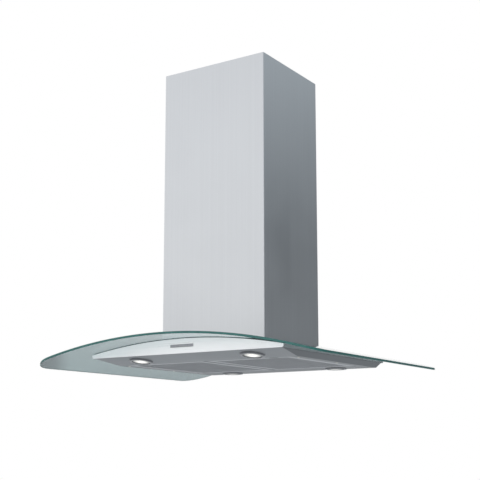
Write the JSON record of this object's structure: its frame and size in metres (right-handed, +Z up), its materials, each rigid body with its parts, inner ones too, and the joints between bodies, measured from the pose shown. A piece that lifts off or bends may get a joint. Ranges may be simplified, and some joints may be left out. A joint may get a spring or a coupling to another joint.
{
  "type": "island range hood",
  "caption": "Ceiling-hung island range hood with a tall rectangular steel chimney, an arched glass canopy, a shallow lit steel body, push buttons and swing-down grease filters.",
  "frame": {"origin": "centre of the four ceiling bolt holes, on the ceiling face", "axes": "+Z up into the ceiling, +X to the right along the length of the canopy, -Y towards the side with the controls"},
  "size_m": [0.9, 0.78, 0.862],
  "materials": {
    "brushed_steel": "vertical brushed stainless steel",
    "fascia_steel": "fine brushed stainless steel",
    "galvanised": "galvanised sheet",
    "canopy_glass": "clear toughened glass with a green tint and polished edges",
    "rubber": "black sealing strip",
    "chrome": "polished",
    "zinc_steel": "zinc-plated steel",
    "lamp_glass": "frosted lens",
    "aluminium": "satin aluminium",
    "aluminium_mesh": "expanded aluminium mesh layers",
    "dark_plastic": "dark grey",
    "button_plastic": "satin grey",
    "control_plastic": "matt grey",
    "black_steel": "black motor casing",
    "shaft_steel": "ground steel",
    "white_plastic": "white",
    "circuit_board": "green board",
    "bulb_glass": "clear capsule"
  },
  "bodies": {
    "ceiling_part": {"ceiling_plate": "galvanised", "chimney_upper": "brushed_steel", "sleeve_screws": "zinc_steel", "upper_posts": "galvanised", "post_bolts": "zinc_steel"},
    "hood": {"lower_posts": "galvanised", "tie_ring": "galvanised", "frame_screws": "zinc_steel", "clamp_frame": "galvanised", "clamp_spacers": "zinc_steel", "clamp_screws": "zinc_steel", "chimney_lower": "brushed_steel", "glass_canopy": "canopy_glass", "glass_gaskets": "rubber", "body_shell": "brushed_steel", "fascia_front": "fascia_steel", "fascia_rear": "fascia_steel", "belly_pan": "brushed_steel", "belly_screws": "zinc_steel", "blower_box": "galvanised", "scroll_left": "galvanised", "scroll_right": "galvanised", "inlet_rings": "dark_plastic", "motor": "black_steel", "motor_bracket": "galvanised", "outlet_collar": "dark_plastic", "damper_spindle": "zinc_steel", "blower_screws": "zinc_steel", "capacitor": "white_plastic", "terminal_box": "white_plastic", "cable_gland": "dark_plastic", "lamp_transformer": "white_plastic", "lamp_housings": "galvanised", "lamp_bulbs": "bulb_glass", "control_bezel": "control_plastic", "control_board": "circuit_board", "lamp_bezel_front_left": "chrome", "lamp_bezel_front_right": "chrome", "lamp_bezel_rear_left": "chrome", "lamp_bezel_rear_right": "chrome", "lamp_lens_front_left": "lamp_glass", "lamp_lens_front_right": "lamp_glass", "lamp_lens_rear_left": "lamp_glass", "lamp_lens_rear_right": "lamp_glass"},
    "fan_rotor": {"impeller": "dark_plastic", "motor_shaft": "shaft_steel"},
    "flap_front": {"damper_flap_front": "dark_plastic"},
    "flap_rear": {"damper_flap_rear": "dark_plastic"},
    "button_off": {"button_off": "button_plastic"},
    "button_speed_low": {"button_speed_low": "button_plastic"},
    "button_speed_mid": {"button_speed_mid": "button_plastic"},
    "button_speed_high": {"button_speed_high": "button_plastic"},
    "button_light": {"button_light": "button_plastic"},
    "filter_left": {"filter_frame_left": "aluminium", "filter_mesh_left": "aluminium_mesh"},
    "latch_left": {"filter_latch_left": "dark_plastic"},
    "filter_right": {"filter_frame_right": "aluminium", "filter_mesh_right": "aluminium_mesh"},
    "latch_right": {"filter_latch_right": "dark_plastic"}
  },
  "joints": [
    {"name": "height_slide", "type": "slide", "parent": "ceiling_part", "child": "hood", "axis": [0, 0, -1], "range_m": [0, 0.25]},
    {"name": "fan_spin", "type": "hinge", "parent": "hood", "child": "fan_rotor", "pos_m": [0, -0.016, -0.683], "axis": [1, 0, 0], "continuous": true},
    {"name": "flap_front_swing", "type": "hinge", "parent": "hood", "child": "flap_front", "pos_m": [0, 0.035, -0.493], "axis": [-1, 0, 0], "range_deg": [0, 78]},
    {"name": "flap_rear_swing", "type": "hinge", "parent": "hood", "child": "flap_rear", "pos_m": [0, 0.035, -0.493], "axis": [1, 0, 0], "range_deg": [0, 78]},
    {"name": "button_off_press", "type": "slide", "parent": "hood", "child": "button_off", "axis": [0, 1, 0], "range_m": [0, 0.002], "stiffness_N_per_m": 600},
    {"name": "button_speed_low_press", "type": "slide", "parent": "hood", "child": "button_speed_low", "axis": [0, 1, 0], "range_m": [0, 0.002], "stiffness_N_per_m": 600},
    {"name": "button_speed_mid_press", "type": "slide", "parent": "hood", "child": "button_speed_mid", "axis": [0, 1, 0], "range_m": [0, 0.002], "stiffness_N_per_m": 600},
    {"name": "button_speed_high_press", "type": "slide", "parent": "hood", "child": "button_speed_high", "axis": [0, 1, 0], "range_m": [0, 0.002], "stiffness_N_per_m": 600},
    {"name": "button_light_press", "type": "slide", "parent": "hood", "child": "button_light", "axis": [0, 1, 0], "range_m": [0, 0.002], "stiffness_N_per_m": 600},
    {"name": "filter_left_swing", "type": "hinge", "parent": "hood", "child": "filter_left", "pos_m": [-0.137, 0.178, -0.8475], "axis": [1, 0, 0], "range_deg": [0, 75]},
    {"name": "latch_left_slide", "type": "slide", "parent": "filter_left", "child": "latch_left", "axis": [0, 1, 0], "range_m": [0, 0.004], "stiffness_N_per_m": 300},
    {"name": "filter_right_swing", "type": "hinge", "parent": "hood", "child": "filter_right", "pos_m": [0.137, 0.178, -0.8475], "axis": [1, 0, 0], "range_deg": [0, 75]},
    {"name": "latch_right_slide", "type": "slide", "parent": "filter_right", "child": "latch_right", "axis": [0, 1, 0], "range_m": [0, 0.004], "stiffness_N_per_m": 300}
  ]
}
